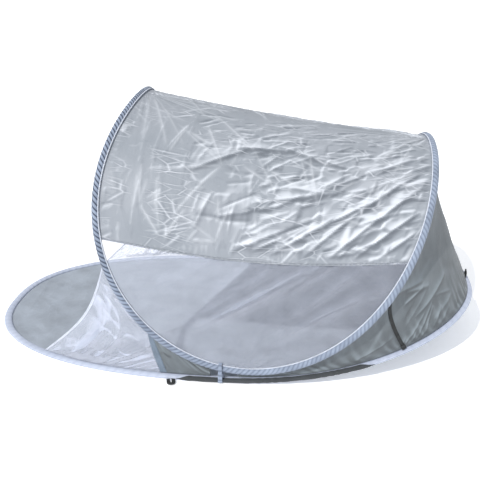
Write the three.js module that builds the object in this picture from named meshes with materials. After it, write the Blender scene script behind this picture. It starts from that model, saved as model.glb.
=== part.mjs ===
// Pop-up beach tent: two sprung steel hoops in fabric sleeves, one round the floor and one round the
// canopy, joined at both sides. The canopy hoop is a saddle with a tall ear at the front and a lower
// one at the rear. A coated roof with mesh windows spans the two ears, a grey wall closes the rear,
// and the front of the floor reaches out of the entrance as a porch.
//
// Millimetres, +Z up. Origin on the ground at the floor's centre. The entrance looks along -Y.
// Everything with y < 0 belongs to the front half and folds over the rear half about the line that
// joins the two side tacks, so each hoop is parted there.
import * as THREE from 'three';

// ---- Driving dimensions ----
const FLOOR_HALF_LENGTH = 982;
const FLOOR_HALF_WIDTH = 565;
const FLOOR_SQUARENESS = 2.4; // exponent of the floor's superellipse, 2 is an ellipse
const FLOOR_REAR_LIFT = 190; // the taut rear wall lifts the floor hoop's rear tip

const FRONT_EAR = { y: -356, z: 953 };
const REAR_EAR = { y: 781, z: 793 };
const TACK_HEIGHT = 60; // canopy hoop's centre where it crosses the floor hoop
const HOOP_SIDE_BULGE = 90;
const HOOP_FRONT_BULGE = 89;
const HOOP_LEAN = 36;
const HOOP_FULLNESS = 17;

const WIRE_RADIUS = 2;
const FERRULE_RADIUS = 3.8;
const FERRULE_BORE = 2.7;
const FERRULE_HALF_ANGLE = 0.03; // about 20 mm of hoop each way
const CANOPY_SLEEVE = { width: 26, height: 26, wall: 1.5 };
const FLOOR_SLEEVE = { width: 32, height: 16, wall: 1.5 };

const CLOTH = 2;
const GAP = 1; // clearance between neighbouring pieces
const RIDGE_SAG = 18;
const RULE_LAG = 0.115; // how far the canopy's rear threads climb towards the ear
const SEAM_SHARE = 0.549; // roof to window seam, as a share of the way from ear to tack
const SEAM_DIP = 0.02;
const WINDOW_END_SHARE = 0.84;

// Places along the hoops, as angles: 0 at the front, PI at the rear, PI / 2 at the side tack.
const WALL_START = { hoop: 1.68, ring: 1.65 };
const SKIRT_END = { hoop: 1.52, ring: 1.54 };
const SKIRT_SEAM = { hoop: 1.286, ring: 1.44 };
const HEM = { hoop: 0.96, ring: 0.84 };
const HEM_DIP = 0.16;
const HEM_WIDTH = 12;
const SEAM_TAPE_WIDTH = 22;

const WALL_SAG = 26; // the taut rear wall is pulled in between its two hoops
const STRAP_SHARE = 0.565; // along the rear wall, from its middle to its end
const STRAP_WIDTH = 14;
const PEG_LOOP = { length: 36, width: 26, hole: 10, thickness: 3 };
const PEG_LOOP_FRONT_ANGLE = 1.456;
const TACK = { width: 22, start: 6, sheet: 2, side: 18 };
const GROUNDSHEET_PART = -30; // just in front of the fold line, so the origin lies on one sheet
const GROUNDSHEET_LYING_SHARE = 0.6; // of the way from the fold line to the edge, before the rear rises

const HOOP_STEPS = 30; // per half hoop
const SMALL = 1e-3;

// ---- Hoop centrelines ----
function hoopPoint(t) {
  const middle = (FRONT_EAR.y + REAR_EAR.y) / 2;
  const reach = (REAR_EAR.y - FRONT_EAR.y) / 2;
  const earMean = (FRONT_EAR.z + REAR_EAR.z) / 2;
  const earDifference = (FRONT_EAR.z - REAR_EAR.z) / 2;
  const c = Math.cos(t);
  const s = Math.sin(t);
  const c3 = Math.cos(3 * t);
  const x = FLOOR_HALF_WIDTH * s + HOOP_SIDE_BULGE * (s + Math.sin(3 * t));
  const y = middle * c * c - reach * c - HOOP_FRONT_BULGE * (c - c3);
  const z = TACK_HEIGHT + (earMean - TACK_HEIGHT) * c * c + earDifference * c
    + HOOP_LEAN * (c - c3) + HOOP_FULLNESS * (1 - Math.cos(4 * t));
  return new THREE.Vector3(x, y, z);
}

function liftAt(y) {
  const share = Math.max(y, 0) / FLOOR_HALF_LENGTH;
  return FLOOR_REAR_LIFT * share * share;
}

function superPower(value) {
  return Math.sign(value) * Math.abs(value) ** (2 / FLOOR_SQUARENESS);
}

function ringPoint(t) {
  const x = FLOOR_HALF_WIDTH * superPower(Math.sin(t));
  const y = -FLOOR_HALF_LENGTH * superPower(Math.cos(t));
  return new THREE.Vector3(x, y, FLOOR_SLEEVE.height / 2 + liftAt(y));
}

// The angle at which a hoop's centreline crosses y, searched between two angles.
function angleAtY(path, y, from, to) {
  let low = from;
  let high = to;
  for (let i = 0; i < 40; i += 1) {
    const middle = (low + high) / 2;
    if (path(middle).y < y) low = middle;
    else high = middle;
  }
  return (low + high) / 2;
}

function evenAngles(from, to, steps) {
  return Array.from({ length: steps + 1 }, (_, i) => from + ((to - from) * i) / steps);
}

// ---- Closed geometry from points and triangles ----
function closedGeometry(points, triangles) {
  const geometry = new THREE.BufferGeometry();
  geometry.setAttribute('position', new THREE.Float32BufferAttribute(points.flatMap((p) => p.toArray()), 3));
  let volume = 0;
  for (const [a, b, c] of triangles) {
    volume += points[a].dot(points[b].clone().cross(points[c]));
  }
  const facingOut = volume > 0 ? triangles : triangles.map(([a, b, c]) => [a, c, b]);
  geometry.setIndex(facingOut.flat());
  geometry.computeVertexNormals();
  return geometry;
}

// Sweeps a flat outline along a path. The outline's first axis points at `inward`.
function sweep(outline, path, angles, inward) {
  const points = [];
  const triangles = [];
  const count = outline.length;
  for (const t of angles) {
    const centre = path(t);
    const along = path(t + SMALL).sub(path(t - SMALL)).normalize();
    const inAxis = inward(centre).sub(centre);
    inAxis.addScaledVector(along, -inAxis.dot(along)).normalize();
    const sideAxis = along.clone().cross(inAxis);
    for (const corner of outline) {
      points.push(centre.clone().addScaledVector(inAxis, corner.x).addScaledVector(sideAxis, corner.y));
    }
  }
  for (let i = 0; i + 1 < angles.length; i += 1) {
    for (let j = 0; j < count; j += 1) {
      const a = i * count + j;
      const b = i * count + ((j + 1) % count);
      triangles.push([a, b, b + count], [a, b + count, a + count]);
    }
  }
  const last = (angles.length - 1) * count;
  for (const [a, b, c] of THREE.ShapeUtils.triangulateShape(outline, [])) {
    triangles.push([a, c, b], [last + a, last + b, last + c]);
  }
  return closedGeometry(points, triangles);
}

function ellipseArc(width, height, from, to, steps) {
  return evenAngles(from, to, steps).map((a) => (
    new THREE.Vector2((width / 2) * Math.cos(a), (height / 2) * Math.sin(a))));
}

// A tube's wall, open along a slit on its inward side, where the cloth is sewn in.
function slitTubeOutline(width, height, wall, slitAngle) {
  const outside = ellipseArc(width, height, slitAngle, 2 * Math.PI - slitAngle, 9);
  const inside = ellipseArc(width - 2 * wall, height - 2 * wall, 2 * Math.PI - slitAngle, slitAngle, 7);
  return [...outside, ...inside];
}

// A sheet of cloth: a grid of points on its middle surface, thickened to both sides and closed all round.
function sheet(columns, rows, pointAt, thickness = CLOTH) {
  const middle = [];
  for (let i = 0; i <= columns; i += 1) {
    for (let j = 0; j <= rows; j += 1) middle.push(pointAt(i / columns, j / rows));
  }
  const index = (i, j) => i * (rows + 1) + j;
  const normalAt = (i, j) => {
    const du = middle[index(Math.min(i + 1, columns), j)].clone().sub(middle[index(Math.max(i - 1, 0), j)]);
    const dv = middle[index(i, Math.min(j + 1, rows))].clone().sub(middle[index(i, Math.max(j - 1, 0))]);
    return du.cross(dv).normalize();
  };
  const upper = [];
  const lower = [];
  for (let i = 0; i <= columns; i += 1) {
    for (let j = 0; j <= rows; j += 1) {
      const offset = normalAt(i, j).multiplyScalar(thickness / 2);
      upper.push(middle[index(i, j)].clone().add(offset));
      lower.push(middle[index(i, j)].clone().sub(offset));
    }
  }
  const under = middle.length;
  const triangles = [];
  for (let i = 0; i < columns; i += 1) {
    for (let j = 0; j < rows; j += 1) {
      const [a, b, c, d] = [index(i, j), index(i + 1, j), index(i + 1, j + 1), index(i, j + 1)];
      triangles.push([a, b, c], [a, c, d]);
      triangles.push([a + under, c + under, b + under], [a + under, d + under, c + under]);
    }
  }
  const rim = [];
  for (let i = 0; i < columns; i += 1) rim.push(index(i, 0));
  for (let j = 0; j < rows; j += 1) rim.push(index(columns, j));
  for (let i = columns; i > 0; i -= 1) rim.push(index(i, rows));
  for (let j = rows; j > 0; j -= 1) rim.push(index(0, j));
  rim.forEach((a, k) => {
    const b = rim[(k + 1) % rim.length];
    triangles.push([b, a, a + under], [b, a + under, b + under]);
  });
  return closedGeometry([...upper, ...lower], triangles);
}

// ---- Materials ----
function finish(color, roughness, metalness) {
  return new THREE.MeshStandardMaterial({ color, roughness, metalness });
}

const sleeveCloth = finish(0xb4c0d2, 0.8, 0);
const roofCloth = finish(0xc6cbd3, 0.4, 0.5);
const windowMesh = finish(0xc8cedc, 0.8, 0);
const gussetMesh = finish(0xd2d8e6, 0.85, 0);
const greyCloth = finish(0x7c8488, 0.75, 0);
const groundCloth = finish(0xa9b1bc, 0.7, 0);
const whiteTape = finish(0xe4e8f0, 0.8, 0);
const seamTape = finish(0x8694a8, 0.8, 0);
const blackWebbing = finish(0x202224, 0.85, 0);
const springSteel = finish(0xa8abae, 0.35, 1);

const tent = new THREE.Group();

function add(name, geometry, material) {
  const mesh = new THREE.Mesh(geometry, material);
  mesh.name = name;
  tent.add(mesh);
  return mesh;
}

// ---- Hoops: wires, ferrules and sleeves ----
const canopyMiddle = () => new THREE.Vector3(0, 200, 350);
const ringMiddle = (p) => new THREE.Vector3(0, 0, p.z);
const wireOutline = ellipseArc(2 * WIRE_RADIUS, 2 * WIRE_RADIUS, 0, 2 * Math.PI, 6).slice(0, 6);
const ferruleOutline = slitTubeOutline(
  2 * FERRULE_RADIUS, 2 * FERRULE_RADIUS, FERRULE_RADIUS - FERRULE_BORE, 0.3);

function addHoop(name, path, inward, sleeve) {
  const frontEnd = angleAtY(path, -GAP, 0, 2);
  const rearStart = angleAtY(path, GAP, 1, 3);
  const wireEnd = Math.PI - FERRULE_HALF_ANGLE / 20;
  const sleeveOutline = slitTubeOutline(sleeve.width, sleeve.height, sleeve.wall, 0.15);
  const frontAngles = evenAngles(-frontEnd, frontEnd, HOOP_STEPS);
  const rearAngles = evenAngles(rearStart, 2 * Math.PI - rearStart, HOOP_STEPS);
  add(`${name}_sleeve_front`, sweep(sleeveOutline, path, frontAngles, inward), sleeveCloth);
  add(`${name}_sleeve_rear`, sweep(sleeveOutline, path, rearAngles, inward), sleeveCloth);
  add(`${name}_wire_front`, sweep(wireOutline, path, frontAngles, inward), springSteel);
  for (const [side, sign] of [['right', 1], ['left', -1]]) {
    const half = [...evenAngles(rearStart, Math.PI - FERRULE_HALF_ANGLE, HOOP_STEPS / 2), wireEnd];
    const angles = sign > 0 ? half : half.map((t) => 2 * Math.PI - t);
    add(`${name}_wire_rear_${side}`, sweep(wireOutline, path, angles, inward), springSteel);
  }
  const ferruleAngles = evenAngles(Math.PI - FERRULE_HALF_ANGLE, Math.PI + FERRULE_HALF_ANGLE, 2);
  add(`${name}_ferrule`, sweep(ferruleOutline, path, ferruleAngles, inward), springSteel);
}

addHoop('floor', ringPoint, ringMiddle, FLOOR_SLEEVE);
addHoop('canopy', hoopPoint, canopyMiddle, CANOPY_SLEEVE);

// ---- Cloth that spans two edges ----
// A sewn edge: a place on a hoop, the hoop's direction there, and how far the cloth stays off its centre.
function edgeOn(path, t, clearance) {
  return { point: path(t), along: path(t + SMALL).sub(path(t - SMALL)).normalize(), clearance };
}

const onCanopyHoop = (t) => edgeOn(hoopPoint, t, CANOPY_SLEEVE.width / 2 + CLOTH);
const onFloorHoop = (t) => edgeOn(ringPoint, t, FLOOR_SLEEVE.width / 2 + CLOTH);

// The point a share of the way from one edge to the other, measured between the two clearances.
function between(start, end, share) {
  const line = end.point.clone().sub(start.point);
  const shareTakenBy = (edge) => edge.clearance / Math.sin(edge.along.angleTo(line)) / line.length();
  const from = shareTakenBy(start);
  const to = 1 - shareTakenBy(end);
  return start.point.addScaledVector(line, from + (to - from) * share);
}

function mirrored(point, sign) {
  point.x *= sign;
  return point;
}

// u runs from the left tack (-1) over the ridge (0) to the right tack (1), v from front to rear.
function canopyPoint(u, v) {
  const share = Math.abs(u);
  const frontAngle = (share * Math.PI) / 2;
  const rearAngle = Math.PI - ((share - RULE_LAG * Math.sin(Math.PI * share)) * Math.PI) / 2;
  const point = between(onCanopyHoop(frontAngle), onCanopyHoop(rearAngle), v);
  point.z -= RIDGE_SAG * Math.sin(Math.PI * v) * (1 - share * share);
  return mirrored(point, Math.sign(u) || 1);
}

const seamAt = (v) => SEAM_SHARE + SEAM_DIP * Math.sin(Math.PI * v);
const seamGap = GAP / 1400; // a tack-to-ear half arch is about 1.4 m of cloth

add('roof', sheet(16, 8, (i, v) => canopyPoint((2 * i - 1) * (seamAt(v) - seamGap), v)), roofCloth);
for (const [side, sign] of [['right', 1], ['left', -1]]) {
  const windowPoint = (i, v) => {
    const start = seamAt(v) + seamGap;
    return canopyPoint(sign * (start + (WINDOW_END_SHARE - start) * i), v);
  };
  add(`window_${side}`, sheet(6, 8, windowPoint), windowMesh);
}

// ---- Rear wall and its straps ----
// s runs from the wall's left end (-1) round the rear (0) to its right end (1), w from top to bottom.
function wallPoint(s, w) {
  const share = Math.abs(s);
  const top = onCanopyHoop(Math.PI - share * (Math.PI - WALL_START.hoop));
  const bottom = onFloorHoop(Math.PI - share * (Math.PI - WALL_START.ring));
  const point = between(top, bottom, w);
  point.y -= WALL_SAG * Math.sin(Math.PI * w ** 0.75) * (1 - share * share);
  return mirrored(point, Math.sign(s) || 1);
}

add('rear_wall', sheet(30, 4, (i, w) => wallPoint(2 * i - 1, w)), greyCloth);

function strapPoint(sign, across, w) {
  const step = 0.01;
  const centre = wallPoint(sign * STRAP_SHARE, w);
  const alongWall = wallPoint(sign * (STRAP_SHARE + step), w).sub(centre).normalize();
  const downWall = wallPoint(sign * STRAP_SHARE, w - step).sub(centre).normalize();
  const outward = alongWall.clone().cross(downWall).normalize();
  if (outward.y < 0) outward.negate();
  return centre.addScaledVector(alongWall, STRAP_WIDTH * (across - 0.5)).addScaledVector(outward, CLOTH + GAP + 1);
}

for (const [side, sign] of [['right', 1], ['left', -1]]) {
  add(`rear_strap_${side}`, sheet(1, 5, (i, w) => strapPoint(sign, i, 0.04 + 0.92 * w), 1.5), blackWebbing);
}

// ---- Entrance gussets, their hems and the side skirts ----
// s runs from the free hem (0) to the side tack (1), w from the canopy hoop down to the floor hoop.
function sidePoint(start, end, s, w) {
  const top = onCanopyHoop(start.hoop + (end.hoop - start.hoop) * s);
  const bottom = onFloorHoop(start.ring + (end.ring - start.ring) * s);
  return between(top, bottom, w);
}

const hemShareAt = (w) => HEM_DIP * Math.sin(Math.PI * w ** 0.8);

// The share of the gusset that a width in millimetres takes up at height w.
function widthShare(width, w) {
  return width / sidePoint(HEM, SKIRT_SEAM, 0, w).distanceTo(sidePoint(HEM, SKIRT_SEAM, 1, w));
}

function addSide(side, sign) {
  const place = (start, end, s, w) => mirrored(sidePoint(start, end, s, w), sign);
  const hemEnd = (w) => hemShareAt(w) + widthShare(HEM_WIDTH, w);
  const tapeStart = (w) => 1 - widthShare(SEAM_TAPE_WIDTH, w);
  add(`gusset_hem_${side}`, sheet(1, 10, (i, w) => (
    place(HEM, SKIRT_SEAM, THREE.MathUtils.lerp(hemShareAt(w), hemEnd(w), i), w))), whiteTape);
  add(`gusset_${side}`, sheet(5, 8, (i, w) => {
    const from = hemEnd(w) + widthShare(GAP, w);
    const to = tapeStart(w) - widthShare(GAP, w);
    return place(HEM, SKIRT_SEAM, THREE.MathUtils.lerp(from, to, i), w);
  }), gussetMesh);
  add(`skirt_tape_${side}`, sheet(1, 4, (i, w) => (
    place(HEM, SKIRT_SEAM, THREE.MathUtils.lerp(tapeStart(w), 1, i), w))), seamTape);
  add(`side_skirt_${side}`, sheet(4, 2, (i, w) => place(SKIRT_SEAM, SKIRT_END, 0.02 + 0.98 * i, w)), greyCloth);
}

addSide('right', 1);
addSide('left', -1);

// ---- Groundsheet ----
// One sheet on the real tent, parted here near the fold line. It lies flat on the ground and
// its rear edge rises to the lifted hoop.
function addGroundsheet(name, sign) {
  add(name, sheet(20, 5, (i, v) => {
    const angle = (0.04 + 0.92 * i) * Math.PI;
    const edge = ringPoint(sign < 0 ? angle - Math.PI / 2 : angle + Math.PI / 2);
    const outward = edge.clone().setZ(0).normalize();
    edge.addScaledVector(outward, -FLOOR_SLEEVE.width / 2 - 2 * CLOTH);
    const start = new THREE.Vector3(edge.x, GROUNDSHEET_PART + sign * GAP, 0);
    const point = start.lerp(edge, v);
    const risen = Math.max(0, v - GROUNDSHEET_LYING_SHARE) / (1 - GROUNDSHEET_LYING_SHARE);
    point.z = CLOTH / 2 + liftAt(edge.y) * risen ** 2;
    return point;
  }), groundCloth);
}

addGroundsheet('groundsheet_front', -1);
addGroundsheet('groundsheet_rear', 1);

// ---- Side tacks and peg loops ----
// A bridge of sleeve cloth over the crossing of the two hoops, sewn to both sleeves.
function addTack(side, sign) {
  const shoulder = TACK_HEIGHT - 3;
  const shape = new THREE.Shape();
  shape.moveTo(TACK.side + TACK.sheet, FLOOR_SLEEVE.height / 4);
  shape.lineTo(TACK.side + TACK.sheet, shoulder);
  shape.absarc(0, shoulder, TACK.side + TACK.sheet, 0, Math.PI, false);
  shape.lineTo(-TACK.side - TACK.sheet, FLOOR_SLEEVE.height / 4);
  shape.lineTo(-TACK.side, FLOOR_SLEEVE.height / 4);
  shape.lineTo(-TACK.side, shoulder);
  shape.absarc(0, shoulder, TACK.side, Math.PI, 0, true);
  shape.lineTo(TACK.side, FLOOR_SLEEVE.height / 4);
  const geometry = new THREE.ExtrudeGeometry(shape, { depth: TACK.width, bevelEnabled: false, curveSegments: 8 });
  const tack = add(`tack_${side}`, geometry, sleeveCloth);
  tack.rotation.x = Math.PI / 2;
  tack.position.set(sign * FLOOR_HALF_WIDTH, TACK.start + TACK.width, 0);
}

addTack('right', 1);
addTack('left', -1);

// A flat webbing loop for a peg. It runs along x from its sewn end, and its hole is in the far end.
function pegLoopGeometry() {
  const shape = new THREE.Shape();
  const halfWidth = PEG_LOOP.width / 2;
  shape.moveTo(0, -halfWidth);
  shape.lineTo(PEG_LOOP.length - halfWidth, -halfWidth);
  shape.absarc(PEG_LOOP.length - halfWidth, 0, halfWidth, -Math.PI / 2, Math.PI / 2, false);
  shape.lineTo(0, halfWidth);
  const hole = new THREE.Path();
  hole.absarc(PEG_LOOP.length - halfWidth, 0, PEG_LOOP.hole / 2, 0, 2 * Math.PI, false);
  shape.holes.push(hole);
  const options = { depth: PEG_LOOP.thickness, bevelEnabled: false, curveSegments: 8 };
  return new THREE.ExtrudeGeometry(shape, options).translate(0, 0, -PEG_LOOP.thickness / 2);
}

// The front loops lie flat outside the floor sleeve.
for (const [side, sign] of [['right', 1], ['left', -1]]) {
  const centre = ringPoint(PEG_LOOP_FRONT_ANGLE);
  const along = ringPoint(PEG_LOOP_FRONT_ANGLE + SMALL).sub(centre).setZ(0).normalize();
  const outward = new THREE.Vector3(along.y, -along.x, 0);
  const root = centre.addScaledVector(outward, FLOOR_SLEEVE.width / 2 + GAP);
  const loop = add(`peg_loop_front_${side}`, pegLoopGeometry(), blackWebbing);
  loop.rotation.z = Math.atan2(outward.y, sign * outward.x);
  loop.position.set(sign * root.x, root.y, FLOOR_SLEEVE.height / 4 + PEG_LOOP.thickness / 2);
}

// The rear loop stands up on the floor sleeve's highest point, against the wall.
const standing = new THREE.Matrix4().makeBasis(
  new THREE.Vector3(0, 0, 1), new THREE.Vector3(1, 0, 0), new THREE.Vector3(0, 1, 0));
const rearLoop = add('peg_loop_rear', pegLoopGeometry().applyMatrix4(standing), blackWebbing);
rearLoop.position.copy(ringPoint(Math.PI));
rearLoop.position.z += FLOOR_SLEEVE.height / 2 + GAP;

export default tent;
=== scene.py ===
"""Pop up tent: the visual model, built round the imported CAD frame.
Metres, +Z up, -Y out of the entrance."""
import math

import bpy
import numpy as np
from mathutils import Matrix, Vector


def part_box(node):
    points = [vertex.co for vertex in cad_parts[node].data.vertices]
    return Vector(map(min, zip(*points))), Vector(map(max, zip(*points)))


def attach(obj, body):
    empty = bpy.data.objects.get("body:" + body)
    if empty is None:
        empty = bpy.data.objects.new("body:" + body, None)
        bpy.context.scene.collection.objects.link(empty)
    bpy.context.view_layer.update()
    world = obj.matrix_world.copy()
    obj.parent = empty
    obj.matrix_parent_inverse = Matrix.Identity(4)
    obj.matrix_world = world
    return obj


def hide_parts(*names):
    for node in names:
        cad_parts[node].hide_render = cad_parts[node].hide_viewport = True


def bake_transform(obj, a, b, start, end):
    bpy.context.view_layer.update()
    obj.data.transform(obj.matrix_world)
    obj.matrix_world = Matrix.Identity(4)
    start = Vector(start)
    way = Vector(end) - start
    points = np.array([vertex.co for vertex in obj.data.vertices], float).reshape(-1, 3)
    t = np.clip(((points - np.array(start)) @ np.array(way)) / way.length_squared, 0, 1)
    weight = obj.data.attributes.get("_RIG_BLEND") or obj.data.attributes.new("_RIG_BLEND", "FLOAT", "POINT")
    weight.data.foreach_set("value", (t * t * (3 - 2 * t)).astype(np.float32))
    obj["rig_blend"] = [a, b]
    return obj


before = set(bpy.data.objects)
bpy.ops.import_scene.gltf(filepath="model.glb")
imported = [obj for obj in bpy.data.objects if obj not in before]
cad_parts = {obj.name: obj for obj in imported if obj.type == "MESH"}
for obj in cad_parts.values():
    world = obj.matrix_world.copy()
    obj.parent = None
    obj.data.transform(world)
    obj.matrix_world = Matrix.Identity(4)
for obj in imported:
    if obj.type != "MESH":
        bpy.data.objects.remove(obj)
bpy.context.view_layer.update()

# ---- Driving dimensions. What the frame can give is read from it ----
WIRE_RADIUS = 0.002


def middle_of(node):
    low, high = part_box(node)
    return (low + high) / 2


def highest_point(node):
    return max((v.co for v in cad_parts[node].data.vertices), key=lambda p: p.z)


FLOOR_HALF_LENGTH = -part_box("floor_wire_front")[0].y - WIRE_RADIUS
FLOOR_HALF_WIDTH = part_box("floor_wire_front")[1].x - WIRE_RADIUS
FLOOR_SLEEVE_HALF_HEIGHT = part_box("floor_sleeve_front")[1].z / 2
FLOOR_REAR_LIFT = middle_of("floor_ferrule").z - FLOOR_SLEEVE_HALF_HEIGHT
FRONT_EAR = highest_point("canopy_wire_front")
REAR_EAR = middle_of("canopy_ferrule")

# The shape of the two hoop curves, as in the CAD.
TACK_HEIGHT = 0.06
HOOP_SIDE_BULGE = 0.09
HOOP_FRONT_BULGE = 0.089
HOOP_LEAN = 0.036
HOOP_FULLNESS = 0.017
FLOOR_SQUARENESS = 2.4

CANOPY_MIDDLE = np.array([0, 0.2, 0.35])
CANOPY_SLEEVE_RADIUS = 0.013
FLOOR_SLEEVE_RADII = (0.016, FLOOR_SLEEVE_HALF_HEIGHT)
PIPING_ANGLE = math.radians(70)
PIPING_RADIUS = 0.0022
MM = 0.001
CLOTH_THICKNESS = 1 * MM
SEWN_IN = 3 * MM

# The cloth between the ears. Shares run from the ridge (0) to a side tack (1).
RIDGE_SAG = 0.018
RULE_LAG = 0.115
SEAM_SHARE = 0.549
SEAM_DIP = 0.02
SEAM_RIB_WIDTH = 0.006
WINDOW_TIP = 0.985

# Where each cloth is sewn to the canopy hoop and to the floor hoop, as angles round them.
WALL_START = {"hoop": 1.66, "ring": 1.62}
SKIRT_END = {"hoop": 1.55, "ring": 1.56}
SKIRT_SEAM = {"hoop": 1.286, "ring": 1.44}
HEM = {"hoop": 0.96, "ring": 0.84}
# Where the dark sheet of painted shadow lies round the floor hoop, as angles.
SHADOW_SHEET_SPAN = {"start": 1.47, "end": 2.12}

HEM_DIP = 0.16
HEM_WIDTH = 0.009
SEAM_TAPE_WIDTH = 0.022
WALL_SAG = 0.026
STRAP_SHARE = 0.565
STRAP_WIDTH = 0.014
STRAP_FOOT_SHARE = 0.08
STRAP_FOOT_RISE = 0.006
STRAP_FOOT_SPREAD = 1.3
LYING_SHARE = 0.6
SIDES = (("right", 1), ("left", -1))


# ---- Hoop centrelines ----
# Angle 0 is the front, PI the rear and PI / 2 the right side tack, as in the CAD.
def canopy_hoop(t):
    c, s, c3 = np.cos(t), np.sin(t), np.cos(3 * t)
    x = FLOOR_HALF_WIDTH * s + HOOP_SIDE_BULGE * (s + np.sin(3 * t))
    middle = (FRONT_EAR.y + REAR_EAR.y) / 2
    reach = (REAR_EAR.y - FRONT_EAR.y) / 2
    y = middle * c * c - reach * c - HOOP_FRONT_BULGE * (c - c3)
    mean = (FRONT_EAR.z + REAR_EAR.z) / 2
    difference = (FRONT_EAR.z - REAR_EAR.z) / 2
    z = TACK_HEIGHT + (mean - TACK_HEIGHT) * c * c + difference * c
    z = z + HOOP_LEAN * (c - c3) + HOOP_FULLNESS * (1 - np.cos(4 * t))
    return np.stack([x, y, z], -1)


def lift_at(y):
    return FLOOR_REAR_LIFT * (np.maximum(y, 0) / FLOOR_HALF_LENGTH) ** 2


def super_power(value):
    return np.sign(value) * np.abs(value) ** (2 / FLOOR_SQUARENESS)


def floor_hoop(t):
    x = FLOOR_HALF_WIDTH * super_power(np.sin(t))
    y = -FLOOR_HALF_LENGTH * super_power(np.cos(t))
    return np.stack([x, y, FLOOR_SLEEVE_HALF_HEIGHT + lift_at(y)], -1)


def unit(vectors):
    return vectors / np.linalg.norm(vectors, axis=-1, keepdims=True)


def direction_along(hoop, t):
    small = 1e-3
    return unit(hoop(t + small) - hoop(t - small))


def smoothstep(x):
    x = np.clip(x, 0, 1)
    return x * x * (3 - 2 * x)


def wave(distance, length):
    return np.sin(2 * np.pi * distance / length)


# ---- Mesh building ----
def new_object(name, data):
    obj = bpy.data.objects.new(name, data)
    bpy.context.scene.collection.objects.link(obj)
    return obj


def mesh_object(name, vertices, faces, cloth_uv=None):
    """An object from arrays. cloth_uv holds each vertex's place on the cloth, in metres."""
    mesh = bpy.data.meshes.new(name)
    mesh.from_pydata(vertices.tolist(), [], faces.tolist())
    if cloth_uv is not None:
        layer = mesh.uv_layers.new(name="cloth")
        corner = np.empty(len(mesh.loops), np.int32)
        mesh.loops.foreach_get("vertex_index", corner)
        layer.data.foreach_set("uv", cloth_uv[corner].astype(np.float32).ravel())
    mesh.shade_smooth()
    return new_object(name, mesh)


def grid_faces(rows, columns, closed_rows=False, closed_columns=False):
    """Quads of a grid of rows x columns points, wrapped round where an axis is closed."""
    i = np.arange(rows if closed_rows else rows - 1)[:, None]
    j = np.arange(columns if closed_columns else columns - 1)[None, :]
    next_i, next_j = (i + 1) % rows, (j + 1) % columns
    corners = (i * columns + j, next_i * columns + j, next_i * columns + next_j, i * columns + next_j)
    return np.stack(corners, -1).reshape(-1, 4)


def grid(rows, columns):
    """Two arrays of rows x columns that run from 0 to 1, the first down the rows."""
    return np.meshgrid(np.linspace(0, 1, rows), np.linspace(0, 1, columns), indexing="ij")


def grid_normals(points):
    never_zero = 1e-12
    across, along = np.gradient(points, axis=0), np.gradient(points, axis=1)
    return unit(np.cross(across, along) + never_zero)


def raised(points, height):
    """The grid's points, lifted off the surface by their heights."""
    return points + grid_normals(points) * height[..., None]


def cloth_lengths(points):
    """How far each grid point is along the cloth from the first row and from the first column."""
    down = np.linalg.norm(np.diff(points, axis=0), axis=-1).cumsum(0)
    right = np.linalg.norm(np.diff(points, axis=1), axis=-1).cumsum(1)
    return np.pad(down, ((1, 0), (0, 0))), np.pad(right, ((0, 0), (1, 0)))


def cloth_sheet(name, points, thickness=CLOTH_THICKNESS, uv=None):
    """A grid of points on a cloth's middle surface, thickened both ways into one closed skin."""
    rows, columns = points.shape[:2]
    offset = grid_normals(points) * thickness / 2
    vertices = np.concatenate([(points + offset).reshape(-1, 3), (points - offset).reshape(-1, 3)])
    top = grid_faces(rows, columns)
    under = top[:, ::-1] + rows * columns
    index = np.arange(rows * columns).reshape(rows, columns)
    rim = np.concatenate([index[:-1, 0], index[-1, :-1], index[:0:-1, -1], index[0, :0:-1]])
    following = np.roll(rim, -1)
    edge = np.stack([following, rim, rim + rows * columns, following + rows * columns], -1)
    down, right = cloth_lengths(points) if uv is None else uv
    cloth_uv = np.tile(np.stack([right, down], -1).reshape(-1, 2), (2, 1))
    return mesh_object(name, vertices, np.concatenate([top, under, edge]), cloth_uv)


def both_faces(values):
    """A value at each point of a grid, for each vertex of the sheet made from it."""
    return np.tile(values.ravel(), 2).astype(np.float32)


def store(obj, attribute, values):
    """A value at each point of a cloth sheet, for its material."""
    data = obj.data.attributes.new(attribute, "FLOAT", "POINT").data
    data.foreach_set("value", both_faces(values))


def store_tilt(obj, height, across, down, down_axis=0, strength=3.4):
    """How far the cloth's wrinkles tip each point toward the sky and the front, 0 to 1. The materials
    paint light and shade from it: a painted reflection of the bright sky where the cloth tips up, and
    painted shade for the darker ground where it tips down."""
    forward_weight = 0.6
    rise_down = np.gradient(height, axis=down_axis) / np.gradient(down, axis=down_axis) * np.sign(down)
    rise_across = np.gradient(height, axis=1 - down_axis) / np.gradient(across, axis=1 - down_axis)
    store(obj, "tilt", 0.5 + 0.5 * np.tanh(strength * (rise_down + forward_weight * rise_across)))


def even_angles(hoop, count):
    """Angles that divide the whole hoop into equal lengths."""
    t = np.linspace(0, 2 * np.pi, 4001)
    steps = np.linalg.norm(np.diff(hoop(t), axis=0), axis=-1)
    distance = np.concatenate([[0], steps.cumsum()])
    return np.interp(np.linspace(0, distance[-1], count, endpoint=False), distance, t)


def faced_by(hoop, centre):
    """What a hoop's section faces: the middle of the canopy, or the floor's upright middle line."""
    if hoop is canopy_hoop:
        return np.broadcast_to(CANOPY_MIDDLE, centre.shape)
    return centre * (0, 0, 1)


def section_axes(hoop, t):
    """Two axes across the hoop: the first points to what it faces, the second to its side."""
    centre, along = hoop(t), direction_along(hoop, t)
    inward = faced_by(hoop, centre) - centre
    inward = unit(inward - along * (inward * along).sum(-1, keepdims=True))
    return centre, inward, np.cross(along, inward)


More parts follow.
